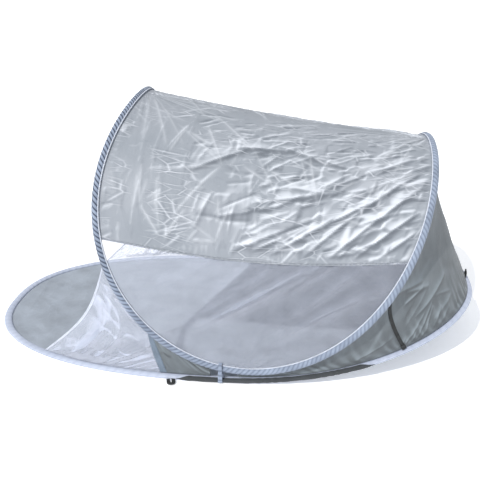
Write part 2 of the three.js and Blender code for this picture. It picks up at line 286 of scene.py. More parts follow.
def closed_tube(name, hoop, steps, section, around):
    """A tube round a whole hoop. section(distance, angle) gives each point's places on the two axes."""
    centre, inward, side = section_axes(hoop, even_angles(hoop, steps))
    step = np.linalg.norm(np.roll(centre, -1, 0) - centre, axis=-1)
    distance = np.concatenate([[0], step.cumsum()[:-1]])[:, None]
    angle = np.linspace(0, 2 * np.pi, around, endpoint=False)[None, :]
    first, second = section(distance, angle)
    points = centre[:, None] + inward[:, None] * first[..., None] + side[:, None] * second[..., None]
    uv = np.stack(np.broadcast_arrays(distance, angle / (2 * np.pi)), -1).reshape(-1, 2)
    faces = grid_faces(steps, around, closed_rows=True, closed_columns=True)
    return mesh_object(name, points.reshape(-1, 3), faces, uv)


def stitch_row(name, points, normals, pitch=0.009, length=0.006, width=0.0016, height=0.0012):
    """A row of thread stitches along a line of points. Each is a small closed lozenge.
    Also returns the share of the line at which each vertex lies."""
    steps = np.linalg.norm(np.diff(points, axis=0), axis=-1)
    distance = np.concatenate([[0], steps.cumsum()])
    starts = np.arange(pitch, distance[-1] - pitch, pitch)

    def at(where, values):
        return np.stack([np.interp(where, distance, values[:, k]) for k in range(3)], -1)

    back, front = at(starts, points), at(starts + length, points)
    up = unit(at(starts, normals))
    along = unit(front - back)
    side = np.cross(up, along) * width / 2
    centre = (back + front) / 2
    corners = [back, centre - side, centre + up * height, centre + side, front, centre - up * height / 2]
    vertices = np.stack(corners, 1).reshape(-1, 3)
    one = np.array([[0, 1, 2], [0, 2, 3], [0, 5, 1], [0, 3, 5], [4, 2, 1], [4, 3, 2], [4, 1, 5], [4, 5, 3]])
    faces = (one[None] + 6 * np.arange(len(starts))[:, None, None]).reshape(-1, 3)
    share = np.repeat(starts / distance[-1], 6)
    return mesh_object(name, vertices, faces, np.stack([share, share * 0], -1)), share


# ---- Folds and wrinkles, as heights over a cloth's own two distances p and q ----
def folds(p, q, lines):
    """Sharp-crested folds. Each line is (start, end, height, width above, width below)."""
    crest_radius = 1.5 * MM
    total = np.zeros_like(p)
    for (p0, q0), (p1, q1), height, above, below in lines:
        length = math.hypot(p1 - p0, q1 - q0)
        along = np.clip(((p - p0) * (p1 - p0) + (q - q0) * (q1 - q0)) / length**2, 0, 1)
        across = ((q - q0) * (p1 - p0) - (p - p0) * (q1 - q0)) / length
        width = np.where(across < 0, above, below)
        taper = np.sqrt(4 * along * (1 - along))
        total += height * taper * np.exp(-np.hypot(across, crest_radius) / width)
    return total


def random_lines(rng, count, p_range, q_range, length, angle, height, width):
    """Straight folds with seeded places. Lengths, angles (radians), heights and widths are ranges."""
    lines = []
    for _ in range(count):
        p, q = rng.uniform(*p_range), rng.uniform(*q_range)
        reach, turn = rng.uniform(*length), rng.uniform(*angle)
        end = (p + reach * math.cos(turn), q + reach * math.sin(turn))
        wide = rng.uniform(*width)
        lines.append(((p, q), end, rng.uniform(*height), wide, wide * rng.uniform(0.5, 1.5)))
    return lines


ANY_WAY = (0, math.pi)


def seeded_folds(p, q, rng, *sets):
    """Straight folds with seeded places. Each set is a count, then the ranges of p, q, length, angle,
    height and width, as random_lines takes them."""
    return folds(p, q, [line for each in sets for line in random_lines(rng, *each)])


def facets(p, q, cell, slope, rng):
    """Crumpled cloth: flat facets of about one cell each, tilted at random, with creases between."""
    sharpness = 12
    i, j = np.floor(p / cell).astype(int), np.floor(q / cell).astype(int)
    i, j = i - i.min() + 1, j - j.min() + 1
    shape = (i.max() + 2, j.max() + 2)
    place = rng.uniform(0.1, 0.9, (2, *shape))
    tilt = rng.uniform(-slope, slope, (2, *shape))
    local_p, local_q = p / cell - np.floor(p / cell), q / cell - np.floor(q / cell)
    total, weights = np.zeros_like(p), np.zeros_like(p)
    for di in (-1, 0, 1):
        for dj in (-1, 0, 1):
            a, b = i + di, j + dj
            dp = local_p - di - place[0][a, b]
            dq = local_q - dj - place[1][a, b]
            weight = np.exp(-sharpness * (dp * dp + dq * dq))
            total += weight * (dp * tilt[0][a, b] + dq * tilt[1][a, b]) * cell
            weights += weight
    return total / weights


def fan(p, q, centre, count, height, reach, rng):
    """Folds that spread from a point where the cloth is pulled, and die out with distance."""
    dp, dq = p - centre[0], q - centre[1]
    radius, angle = np.hypot(dp, dq), np.arctan2(dq, dp)
    wobble = 0.35 * np.sin(3 * angle + rng.uniform(0, 6)) + 0.2 * np.sin(7 * angle + rng.uniform(0, 6))
    ridge = 1 - 2 * np.abs(np.sin(count * (angle + wobble) / 2))
    rise = smoothstep(radius / (0.2 * reach)) * np.exp(-radius / reach)
    return height * ridge * rise


# ---- Materials ----
def linear(red, green, blue):
    """A colour given as the eye sees it, 0 to 255, in the linear values that nodes take."""
    return [((c / 255 + 0.055) / 1.055) ** 2.4 for c in (red, green, blue)] + [1]


def scaled(colour, factor):
    """A colour made darker or lighter, in the values that nodes take."""
    return linear(*[min(255, c * factor) for c in colour])


RANGE_INPUTS = ("From Min", "From Max", "To Min", "To Max")
# A Mix node's share and colours are among other inputs, and its colour result among other outputs.
MIX_INPUTS, MIX_RESULT = (0, 6, 7), 2


class Nodes:
    """A short way to wire the nodes of a material or a world."""

    def __init__(self, owner):
        owner.use_nodes = True
        self.owner = owner
        self.tree = owner.node_tree

    def add(self, kind, **settings):
        node = self.tree.nodes.new(kind)
        for key, value in settings.items():
            if key in node.inputs:
                self.put(node.inputs[key], value)
            else:
                setattr(node, key, value)
        return node

    def put(self, socket, value):
        if isinstance(value, bpy.types.NodeSocket):
            self.tree.links.new(value, socket)
        else:
            socket.default_value = value

    def math(self, operation, first, second=0.0, third=0.0):
        node = self.add("ShaderNodeMath", operation=operation)
        for socket, value in zip(node.inputs, (first, second, third)):
            self.put(socket, value)
        return node.outputs[0]

    def span(self, value, low, high, to_low, to_high):
        """value from low..high mapped onto to_low..to_high, and held at those ends."""
        node = self.add("ShaderNodeMapRange", Value=value)
        for key, number in zip(RANGE_INPUTS, (low, high, to_low, to_high)):
            node.inputs[key].default_value = number
        return node.outputs[0]

    def mix(self, share, first, second):
        node = self.add("ShaderNodeMix", data_type="RGBA")
        for place, value in zip(MIX_INPUTS, (share, first, second)):
            self.put(node.inputs[place], value)
        return node.outputs[MIX_RESULT]


class Surface(Nodes):
    """The nodes of a new material, with its patterns placed in metres."""

    def __init__(self, name):
        super().__init__(bpy.data.materials.new(name))
        self.shader = self.tree.nodes["Principled BSDF"]
        self.cloth = self.add("ShaderNodeUVMap", uv_map="cloth").outputs["UV"]
        self.space = self.add("ShaderNodeTexCoord").outputs["Object"]

    def noise(self, size, detail=3.0, where=None, roughness=0.5):
        """Soft patches, each about size metres across."""
        node = self.add("ShaderNodeTexNoise", Scale=1 / size, Detail=detail, Roughness=roughness)
        self.put(node.inputs["Vector"], self.space if where is None else where)
        return node.outputs["Fac"]

    def cell_edges(self, size, where=None):
        """Distance from the nearest crease of a network with cells of about size metres, in cells."""
        node = self.add("ShaderNodeTexVoronoi", feature="DISTANCE_TO_EDGE", Scale=1 / size)
        self.put(node.inputs["Vector"], self.space if where is None else where)
        return node.outputs["Distance"]

    def stretched(self, turn, stretch):
        """The cloth's own distances, turned and drawn out, so that cells on them are long shards."""
        node = self.add("ShaderNodeMapping", Rotation=(0, 0, turn), Scale=(1 / stretch, 1, 1))
        self.put(node.inputs["Vector"], self.cloth)
        return node.outputs["Vector"]

    def threads(self, pitch):
        """A plain weave, 0 to 1: two sets of threads at right angles along the cloth's own distances."""
        axes = self.add("ShaderNodeSeparateXYZ", Vector=self.cloth)
        warp, weft = (
            self.math("SINE", self.math("MULTIPLY", axes.outputs[k], 2 * math.pi / pitch)) for k in (0, 1)
        )
        return self.math("MULTIPLY_ADD", self.math("MULTIPLY", warp, weft), 0.5, 0.5)

    def bump(self, height, distance, strength=1.0, normal=None):
        node = self.add("ShaderNodeBump", Height=height, Distance=distance, Strength=strength)
        if normal is not None:
            self.put(node.inputs["Normal"], normal)
        return node.outputs["Normal"]

    def attribute(self, name):
        return self.add("ShaderNodeAttribute", attribute_name=name).outputs["Fac"]

    def finish(self, **inputs):
        for key, value in inputs.items():
            self.put(self.shader.inputs[key.replace("_", " ")], value)
        return self.owner


def shard_creases(n, colour, turn, size):
    """Fine straight creases in patches, round long shards of about size metres that are turned by an
    angle: a painted highlight line with a thin painted shadow beside it. Their widths are in cells."""
    line_width, shadow_place, stretch = 0.03, 0.06, 3.5
    edges = n.cell_edges(size, n.stretched(turn, stretch))
    shown = n.span(n.noise(0.13 + size, 2, n.cloth), 0.5, 0.6, 0, 0.4)
    lit = n.math("MULTIPLY", n.span(edges, 0, line_width, 1, 0), shown)
    colour = n.mix(lit, colour, linear(225, 229, 237))
    from_shadow = n.math("ABSOLUTE", n.math("SUBTRACT", edges, shadow_place))
    shadow = n.math("MULTIPLY", n.span(from_shadow, 0, line_width, 1, 0), shown)
    return n.mix(n.math("MULTIPLY", shadow, 0.6), colour, linear(104, 110, 118))


def silver_cloth():
    """Polyester with an aluminium coating. A painted reflection makes it lighter where it tips to the sky,
    painted shade makes it darker where it tips to the ground, and a painted highlight is brightest on the
    creases."""
    n = Surface("silver_coated_cloth")
    tilt = n.attribute("tilt")
    patches = n.span(n.noise(0.22, 4), 0.35, 0.65, 0, 1)
    colour = n.mix(patches, linear(142, 148, 156), linear(152, 157, 165))
    # Painted reflection where the cloth tips to the sky, painted shade where it tips to the ground.
    colour = n.mix(n.span(tilt, 0.55, 1, 0, 0.85), colour, linear(222, 227, 235))
    colour = n.mix(n.span(tilt, 0.45, 0, 0, 0.8), colour, linear(92, 98, 106))
    for turn, size in ((0.45, 0.05), (-0.6, 0.033), (1.5, 0.06)):
        colour = shard_creases(n, colour, turn, size)
    # Painted highlight along the creases.
    crease = n.math("MULTIPLY", n.attribute("crease"), 0.35)
    colour = n.mix(crease, colour, linear(226, 230, 237))
    fine = n.span(n.cell_edges(0.017, n.cloth), 0.0, 0.25, 1, 0)
    crumple = n.noise(0.03, 5, n.cloth, 0.6)
    normal = n.bump(n.threads(0.0014), 0.0002, 0.3)
    normal = n.bump(crumple, 0.0025, 0.5, n.bump(fine, 0.0004, 0.3, normal))
    rough = n.span(n.noise(0.03, 3), 0.3, 0.7, 0.36, 0.5)
    return n.finish(
        Base_Color=colour, Metallic=0.0, Roughness=rough, Specular_IOR_Level=0.22, Normal=normal
    )


def net(name, colour, cover, pitch=0.0016):
    """Fine netting. cover is the share of light that one face of it stops. Folds stop more."""
    n = Surface(name)
    threads = n.threads(pitch)
    weave = n.span(threads, 0, 1, cover - 0.07, cover + 0.07)
    patches = n.span(n.noise(0.06, 4), 0.3, 0.7, -0.02, 0.03)
    tilt = n.attribute("tilt")
    folded = n.math("MULTIPLY", n.math("ABSOLUTE", n.math("SUBTRACT", tilt, 0.5)), 0.55)
    alpha = n.math("ADD", n.math("ADD", weave, patches), folded)
    # Painted shade: darker where a fold of the netting tips down, its own colour where it tips up.
    shade = n.mix(n.span(tilt, 0.2, 0.8, 0, 1), scaled(colour, 0.84), linear(*colour))
    normal = n.bump(threads, 0.0003, 0.4, n.bump(n.noise(0.02, 3), 0.001, 0.25))
    return n.finish(Base_Color=shade, Roughness=0.75, Alpha=alpha, Normal=normal)


def plain_cloth(name, colour, wrinkle=0.4, rough=0.75, contrast=0.0):
    """Plain-weave polyester with a little fading in patches, and a painted highlight along creases.
    contrast is how much painted light and shade its tilt gives it: lighter where it tips up, darker
    where it tips down."""
    n = Surface(name)
    spread, pitch = 0.07, 0.0011
    patches = n.span(n.noise(0.12, 4), 0.3, 0.7, 0, 1)
    shade = n.mix(patches, scaled(colour, 1 - spread), scaled(colour, 1 + spread))
    creases = n.cell_edges(0.05, n.cloth)
    # Painted highlight along the crease lines.
    crease_highlight = linear(*[min(255, c * 1.15 + 8) for c in colour])
    shade = n.mix(n.span(creases, 0.0, 0.02, 0.25, 0), shade, crease_highlight)
    shade = n.mix(n.span(n.threads(pitch), 0, 1, 0.12, 0), shade, scaled(colour, 0.6))
    # Painted light and shade: lighter where the cloth tips up, darker where it tips down.
    tilt = n.attribute("tilt")
    shade = n.mix(n.span(tilt, 0.5, 1, 0, contrast), shade, scaled(colour, 1.5))
    shade = n.mix(n.span(tilt, 0.5, 0, 0, contrast), shade, scaled(colour, 0.6))
    normal = n.bump(n.threads(pitch), 0.0003, 0.5)
    normal = n.bump(n.span(creases, 0, 0.12, 1, 0), 0.001, wrinkle * 0.5, normal)
    normal = n.bump(n.noise(0.02, 4), 0.0014, wrinkle, normal)
    roughness = n.span(n.noise(0.05, 2), 0.3, 0.7, rough - 0.08, rough + 0.08)
    return n.finish(
        Base_Color=shade, Roughness=roughness, Normal=normal, Sheen_Weight=0.15, Sheen_Roughness=0.4
    )


def gathered_cloth(name, light, dark, pitch, turns, shaded):
    """Sleeve cloth drawn up round a wire, with grooves that wind round it and painted shade in them.
    shaded is how dark that painted shade is at the front and at the rear. Near the ground it is less dark."""
    n = Surface(name)
    axes = n.add("ShaderNodeSeparateXYZ", Vector=n.cloth)
    drift = n.math("MULTIPLY", n.noise(0.15, 1), 5)
    slant = n.math("MULTIPLY_ADD", axes.outputs[1], 2 * math.pi * turns, drift)
    phase = n.math("MULTIPLY_ADD", axes.outputs[0], 2 * math.pi / pitch, slant)
    groove = n.math("ABSOLUTE", n.math("SINE", n.math("MULTIPLY", phase, 0.5)))
    place = n.add("ShaderNodeSeparateXYZ", Vector=n.space).outputs
    front_to_rear = n.span(place[1], -0.3, 0.5, *shaded)
    low_to_high = n.span(place[2], 0.05, 0.5, 0.55, 1)
    # Painted shade in the grooves, deeper at the front and higher up.
    depth = n.math("MULTIPLY", n.span(groove, 0.15, 0.85, 1, 0), front_to_rear)
    depth = n.math("MULTIPLY", depth, low_to_high)
    shade = n.mix(depth, linear(*light), linear(*dark))
    shade = n.mix(n.span(n.noise(0.1, 3), 0.35, 0.65, 0.25, 0), shade, linear(*dark))
    normal = n.bump(n.noise(0.004, 3), 0.0006, 0.5, n.bump(groove, 0.002, 0.5))
    return n.finish(Base_Color=shade, Roughness=0.72, Normal=normal, Sheen_Weight=0.15)


def tape_cloth(name, colour, ribs=0.0022):
    """Binding tape with fine ribs and worn, darker patches."""
    n = Surface(name)
    axes = n.add("ShaderNodeSeparateXYZ", Vector=n.cloth)
    rib = n.math("SINE", n.math("MULTIPLY", axes.outputs[1], 2 * math.pi / ribs))
    worn = n.span(n.noise(0.03, 4), 0.4, 0.75, 0, 0.5)
    shade = n.mix(worn, linear(*colour), scaled(colour, 0.8))
    normal = n.bump(rib, 0.0004, 0.5, n.bump(n.noise(0.008, 3), 0.0008, 0.4))
    return n.finish(Base_Color=shade, Roughness=0.8, Normal=normal, Sheen_Weight=0.1)


def webbing(name):
    """Black woven webbing, with a painted highlight on its high threads, in patches."""
    n = Surface(name)
    threads = n.threads(0.003)
    # Painted highlight on the high threads, stronger in patches.
    thread_highlight = n.math("MULTIPLY", threads, n.span(n.noise(0.02, 3), 0.3, 0.8, 0.15, 0.8))
    shade = n.mix(thread_highlight, linear(28, 30, 31), linear(78, 82, 84))
    return n.finish(Base_Color=shade, Roughness=0.85, Normal=n.bump(threads, 0.0006, 0.8))


def spring_steel():
    """Drawn wire, faintly streaked."""
    n = Surface("spring_steel_wire")
    streaks = n.noise(0.004, 3)
    shade = n.mix(streaks, linear(150, 152, 154), linear(190, 192, 194))
    normal = n.bump(streaks, 0.0001, 0.3)
    rough = n.span(streaks, 0.3, 0.7, 0.25, 0.42)
    return n.finish(Base_Color=shade, Metallic=1.0, Roughness=rough, Normal=normal)


ROPE_PITCH, ROPE_TURNS = 0.019, 4
FLOOR_GATHER_PITCH, FLOOR_GATHER_TURNS = 0.034, 1
SILVER = silver_cloth()
WINDOW_NET = net("window_netting", (212, 218, 234), 0.18)
GUSSET_NET = net("gusset_netting", (222, 228, 245), 0.19)
GREY_CLOTH = plain_cloth("grey_polyester", (100, 107, 112), contrast=0.7)
GROUND_CLOTH = plain_cloth("groundsheet_cloth_coated", (152, 160, 171), wrinkle=0.6, rough=0.6)
SLEEVE_CLOTH = gathered_cloth(
    "canopy_sleeve_gathers", (146, 158, 178), (30, 42, 64), ROPE_PITCH, ROPE_TURNS, shaded=(1.0, 0.45)
)
FLOOR_SLEEVE_CLOTH = gathered_cloth(
    "floor_sleeve_gathers", (182, 190, 208), (138, 148, 170),
    FLOOR_GATHER_PITCH, FLOOR_GATHER_TURNS, shaded=(0.38, 0.3)
)
WHITE_TAPE = tape_cloth("white_binding", (212, 218, 230))
SEAM_TAPE = tape_cloth("blue_grey_binding", (112, 126, 142))
# Painted shadow, for the dark sheet over the floor sleeve.
PAINTED_SHADOW = plain_cloth("dark_edging_cloth", (58, 62, 66), wrinkle=0.6)
BLACK_WEBBING = webbing("black_webbing_woven")
STEEL = spring_steel()
THREAD = tape_cloth("white_thread", (240, 243, 250), 0.001)

# The stretch of Y, round the fold line, over which a piece on both halves bends.
BEND_START, BEND_END = 0.03, -0.07


def finish_piece(obj, material, nodes=(), body=None, front_share=None):
    """The piece's material and slot, the CAD nodes it stands for, and how it moves: with one body,
    or bent between the halves by the share of the fold that each vertex follows."""
    obj.data.materials.append(material)
    if nodes:
        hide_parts(*nodes)
    if body:
        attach(obj, body)
        return
    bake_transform(obj, "rear_half", "front_half", start=(0, BEND_START, 0), end=(0, BEND_END, 0))
    if front_share is not None:
        weights = obj.data.attributes["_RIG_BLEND"].data
        weights.foreach_set("value", front_share.astype(np.float32))


# ---- Hoop sleeves ----
def canopy_section(distance, angle):
    """Rope-like gathers that wind along the sleeve."""
    depth = 2.2 * MM
    phase = 2 * np.pi * distance / ROPE_PITCH + ROPE_TURNS * angle
    phase = phase + 1.2 * wave(distance, 0.31) + 0.8 * wave(distance, 0.117)
    groove = 1 - np.abs(np.sin(phase / 2))
    radius = CANOPY_SLEEVE_RADIUS - depth * groove**2
    return radius * np.cos(angle), radius * np.sin(angle)


def floor_section(distance, angle):
    """A flattened sleeve with irregular puckers across it."""
    phase = 2 * np.pi * distance / FLOOR_GATHER_PITCH + FLOOR_GATHER_TURNS * angle
    phase = phase + 2.5 * wave(distance, 0.43)
    uneven = 0.5 + 0.5 * np.sin(2 * np.pi * distance / 0.19 + 2 * wave(distance, 0.71))
    fine = 2 * np.pi * distance / 0.011 + 3 * wave(distance, 0.083)
    scale = 1 - (0.02 + 0.04 * uneven) * (1 - np.abs(np.sin(phase / 2))) ** 2
    scale = scale + 0.035 * uneven**2 * np.sin(fine + 2 * angle)
    first, second = FLOOR_SLEEVE_RADII
    return first * scale * np.cos(angle), second * scale * np.sin(angle)


def build_sleeves():
    canopy = closed_tube("canopy_hoop_sleeve", canopy_hoop, 1400, canopy_section, around=24)
    finish_piece(canopy, SLEEVE_CLOTH, ["canopy_sleeve_front", "canopy_sleeve_rear"])
    floor = closed_tube("floor_hoop_sleeve", floor_hoop, 1200, floor_section, around=20)
    finish_piece(floor, FLOOR_SLEEVE_CLOTH, ["floor_sleeve_front", "floor_sleeve_rear"])


def build_shadow_sheet(side, sign):
    """A dark sheet folded over the outside of the floor sleeve, from the side skirt past the tack to the
    strap. It is painted shadow: it stands in for the shade in the gap under the tent's side."""
    middle_angle, wrap = math.radians(170), math.radians(130)
    around, along = grid(14, 260)
    t = SHADOW_SHEET_SPAN["start"] + (SHADOW_SHEET_SPAN["end"] - SHADOW_SHEET_SPAN["start"]) * along
    centre, inward, up = section_axes(floor_hoop, t)
    taper = smoothstep(along / 0.06) * smoothstep((1 - along) / 0.1)
    angle = middle_angle + wrap * (around - 0.5) * (0.1 + 0.9 * taper)
    loose = 1.4 * MM + 0.6 * MM * np.sin(90 * along + 4 * np.sin(17 * along)) * taper
    first, second = (radius + loose for radius in FLOOR_SLEEVE_RADII)
    points = centre + inward * (first * np.cos(angle))[..., None] + up * (second * np.sin(angle))[..., None]
    shadow_sheet = cloth_sheet(f"floor_shadow_sheet_{side}", mirrored(points, sign))
    finish_piece(shadow_sheet, PAINTED_SHADOW)


def piping_section(place):
    """The section of a cord that lies on the canopy sleeve. place is its angle round the sleeve."""
    def section(distance, angle):
        radius = PIPING_RADIUS * (1 + 0.12 * wave(distance, 0.008))
        first = CANOPY_SLEEVE_RADIUS * math.cos(place) + radius * np.cos(angle)
        second = CANOPY_SLEEVE_RADIUS * math.sin(place) + radius * np.sin(angle)
        return first, second

    return section


def build_piping():
    """The corded seams where roof and walls are sewn to the canopy sleeve."""
    for edge, place in (("inner", -PIPING_ANGLE), ("outer", PIPING_ANGLE)):
        cord = closed_tube(f"canopy_piping_{edge}", canopy_hoop, 1600, piping_section(place), around=8)
        finish_piece(cord, WHITE_TAPE)


# ---- Cloth spanning two hoops ----
def between(start, end, share):
    """Points a share of the way from one sewn edge to the other. An edge is (hoop, angle, sunk),
    where sunk is how far from the hoop's centre the cloth begins."""
    shortest, flattest, most = 1e-6, 0.05, 0.49
    (hoop_a, angle_a, sunk_a), (hoop_b, angle_b, sunk_b) = start, end
    first, second = hoop_a(angle_a), hoop_b(angle_b)
    line = second - first
    length = np.maximum(np.linalg.norm(line, axis=-1), shortest)

    def share_taken(hoop, angle, sunk):
        sine = np.linalg.norm(np.cross(direction_along(hoop, angle), line), axis=-1) / length
        return np.minimum(sunk / np.maximum(sine, flattest) / length, most)

    low = share_taken(hoop_a, angle_a, sunk_a)
    high = 1 - share_taken(hoop_b, angle_b, sunk_b)
    return first + line * (low + (high - low) * share)[..., None]


def on_canopy(angle):
    return canopy_hoop, angle, CANOPY_SLEEVE_RADIUS - SEWN_IN


def on_floor(angle):
    return floor_hoop, angle, FLOOR_SLEEVE_RADII[0] - SEWN_IN


def canopy_points(u, v):
    """u runs from the left tack (-1) over the ridge (0) to the right tack (1), v from front to rear."""
    share = np.abs(u)
    front = share * np.pi / 2
    rear = np.pi - (share - RULE_LAG * np.sin(np.pi * share)) * np.pi / 2
    points = between(on_canopy(front), on_canopy(rear), v)
    points[..., 2] -= RIDGE_SAG * np.sin(np.pi * v) * (1 - share**2)
    points[..., 0] *= np.where(u < 0, -1, 1)
    return points


def seam_at(v):
    return SEAM_SHARE + SEAM_DIP * np.sin(np.pi * v)


def pucker(distance_from_seam, along, pitch, height, reach):
    """Small gathers that a seam draws into the cloth beside it."""
    drift = 1.5 * wave(along, 0.37) + wave(along, 0.13)
    gather = np.sin(2 * np.pi * along / pitch + drift)
    return height * gather * np.exp(-distance_from_seam / reach)


# ---- Roof ----
def roof_folds(side, rng, span, half):
    """The folds of one half of the roof, placed by shares of its length and of ridge to seam."""
    def line(start, end, height, above, below):
        ends = [(a * span, b * half * side) for a, b in (start, end)]
        widths = (above, below) if side > 0 else (below, above)
        return (*ends, height * MM, *(w * MM for w in widths))

    lines = [
        line((0.26, 0.60), (0.42, 0.42), 7, 30, 6),
        line((0.38, 0.43), (0.56, 0.40), 9, 32, 6),
        line((0.50, 0.38), (0.72, 0.50), 8, 28, 6),
        line((0.46, 0.74), (0.72, 0.66), 7, 20, 7),
        line((0.36, 0.82), (0.56, 0.74), 6, 20, 6),
        line((0.42, 0.97), (0.66, 0.80), 6, 18, 8),
        line((0.55, 0.97), (0.84, 0.70), 8, 18, 7),
        line((0.66, 0.97), (0.97, 0.50), 8, 18, 8),
        line((0.60, 0.72), (0.98, 0.36), 6, 20, 9),
        line((0.74, 0.98), (0.96, 0.64), 7, 14, 8),
        line((0.82, 0.98), (0.98, 0.76), 9, 15, 9),
        line((0.90, 0.98), (0.99, 0.86), 6, 12, 8),
        line((0.08, 0.30), (0.13, 0.96), 2, 8, 10),
        line((0.16, 0.55), (0.22, 0.98), 3, 8, 12),
        line((0.02, 0.62), (0.10, 0.98), 2, 8, 10),
        line((0.30, 0.88), (0.34, 0.70), 5, 10, 14),
    ]
    near, far = 0.12 * half, half
    q_range = (near, far) if side > 0 else (-far, -near)
    whole, middle = (0, span), (0.2 * span, 0.8 * span)
    rearward, forward = (0.42 * span, 0.98 * span), (0.02 * span, 0.5 * span)
    slant = (-0.75, 0.15) if side > 0 else (-0.15, 0.75)
    steep, fine = (1.2, 1.9), (0.003, 0.007)
    for count, p_range, length, angle, height in (
        (120, rearward, (0.03, 0.14), slant, (0.0015, 0.0045)),
        (60, middle, (0.03, 0.12), slant, (-0.004, -0.0015)),
        (40, forward, (0.05, 0.25), steep, (0.0008, 0.0022)),
        (60, whole, (0.02, 0.09), ANY_WAY, (-0.003, 0.003)),
    ):
        lines += random_lines(rng, count, p_range, q_range, length, angle, height, fine)
    return lines


def bright_creases(p, q, rng, span, half):
    """Straight, hard creases from the tent's folded state, as a share from 0 to 1: single ones, stars
    of a few, and rays from both ears."""
    width, stars, arms, rays, gain = 0.0032, 11, 4, 14, 1.6
    total = np.zeros_like(p)
    strength, even = (0.4, 0.9), (width, width)
    lines = random_lines(rng, 90, (0, span), (-half, half), (0.05, 0.22), ANY_WAY, strength, even)
    for _ in range(stars):
        star = (rng.uniform(0.05, 0.95) * span, rng.uniform(-0.9, 0.9) * half)
        for turn in rng.uniform(0, 2 * math.pi, arms):
            reach = rng.uniform(0.08, 0.3)
            end = (star[0] + reach * math.cos(turn), star[1] + reach * math.sin(turn))
            lines.append((star, end, rng.uniform(0.5, 1.0), width, width))
    for ear, sign in ((0.02, 1), (0.98, -1)):
        for turn in np.linspace(-1.3, 1.3, rays) + rng.uniform(-0.08, 0.08, rays):
            reach = rng.uniform(0.15, 0.42)
            start = (ear * span, 0)
            end = (start[0] + sign * reach * math.cos(turn), reach * math.sin(turn))
            lines.append((start, end, rng.uniform(0.3, 0.8), width, width))
    for crease in lines:
        total = np.maximum(total, folds(p, q, [crease]))
    return np.clip(total * gain, 0, 1)


def build_roof():
    rng = np.random.default_rng(11)
    rows, v = grid(300, 240)
    u = (2 * rows - 1) * seam_at(v)
    points = canopy_points(u, v)
    down, along = cloth_lengths(points)
    span, half = along[:, -1].mean(), down[-1].mean() / 2
    p, q = v * span, (2 * rows - 1) * half
    height = folds(p, q, roof_folds(1, rng, span, half) + roof_folds(-1, rng, span, half))
    crumpled = 0.12 + 0.95 * smoothstep(p / span) * smoothstep(1.4 * np.abs(q) / half)
    height += crumpled * (facets(p, q, 0.14, 0.07, rng) + facets(p, q, 0.05, 0.11, rng))
    height += sum(fan(p, q, (ear, 0), 18, 0.003, 0.16, rng) for ear in (0, span))
    crease = bright_creases(p, q, rng, span, half)
    height += 1.5 * MM * crease
    seam_distance = half - np.abs(q)
    height += pucker(seam_distance, p, 0.022, 0.0007, 0.02)
    hoop_distance = np.minimum(p, span - p)
    height += pucker(hoop_distance, np.abs(q), 0.03, 0.0006, 0.02)
    height *= smoothstep(hoop_distance / 0.03) * (0.35 + 0.65 * smoothstep(seam_distance / 0.04))
    roof = cloth_sheet("roof_cloth", raised(points, height), uv=(q, p))
    # The crease share, kept for the painted highlight along the creases.
    store(roof, "crease", crease)
    store_tilt(roof, height, p, q)
    finish_piece(roof, SILVER, ["roof"], front_share=both_faces(1 - v))


# ---- Windows and the seams that join them to the roof ----
def build_window(side, sign):
    rng = np.random.default_rng(23)
    rows, v = grid(110, 130)
    seam = seam_at(v)
    points = canopy_points(sign * (seam + (WINDOW_TIP - seam) * rows), v)
    down, along = cloth_lengths(points)
    p = along - along[:, -1:] / 2
    height = fan(p, down, (0, down.max()), 26, 0.008, 0.3, rng)
    height += seeded_folds(
        p, down, rng,
        (12, (-0.5, 0.3), (0.05, 0.3), (0.25, 0.5), (-0.9, -0.5), (0.004, 0.009), (0.015, 0.035)),
        (40, (-0.5, 0.5), (0.02, 0.5), (0.04, 0.15), ANY_WAY, (-0.002, 0.002), (0.004, 0.01)),
    )
    height += pucker(down, p, 0.022, 0.0015, 0.02)
    edge = np.minimum(along, along[:, -1:] - along)
    height *= smoothstep(edge / 0.04)
    window = cloth_sheet(f"window_net_{side}", raised(points, -sign * height))
    store_tilt(window, height, along, down, strength=1.1)
    front_share = both_faces(1 - v)
    finish_piece(window, WINDOW_NET, [f"window_{side}"], front_share=front_share)


def build_roof_seam(side, sign):
    """A turned seam: a narrow silver rib along the edge of the roof, with a row of stitches on it."""
    middle_row, seam_length, ridge_to_tack = 2, 1.3, 1.4
    v = np.linspace(0, 1, 240)
    rows = np.linspace(-1, 1, 2 * middle_row + 1)[:, None] * SEAM_RIB_WIDTH / ridge_to_tack
    u = seam_at(v)[None] + rows
    across = np.broadcast_to(v, u.shape)
    points = canopy_points(sign * u, across)
    normals = -sign * grid_normals(points)
    crown = (1 - (rows / rows.max()) ** 2) * 1.6 * MM + 0.8 * MM
    gathers = pucker(np.zeros_like(u), across * seam_length, 0.022, 0.0012, 1)
    points = points + normals * (crown + gathers)[..., None]
    rib = cloth_sheet(f"roof_seam_{side}", points, 2 * MM)
    store(rib, "crease", np.zeros_like(u))
    store(rib, "tilt", np.full_like(u, 0.5))
    finish_piece(rib, SILVER, front_share=both_faces(1 - across))
    upward = normals[middle_row]
    crest = points[middle_row] + upward * 0.9 * MM
    thread, share = stitch_row(f"roof_seam_stitches_{side}", crest, upward)
    finish_piece(thread, THREAD, front_share=1 - share)


# ---- Rear wall and straps ----
def wall_points(s, w):
    """s runs from the wall's left end (-1) round the rear (0) to its right end (1), w downwards."""
    share = np.abs(s)
    top = on_canopy(np.pi - share * (np.pi - WALL_START["hoop"]))
    bottom = on_floor(np.pi - share * (np.pi - WALL_START["ring"]))
    points = between(top, bottom, w)
    points[..., 1] -= WALL_SAG * np.sin(np.pi * w**0.75) * (1 - share**2)
    points[..., 0] *= np.where(s < 0, -1, 1)
    return points


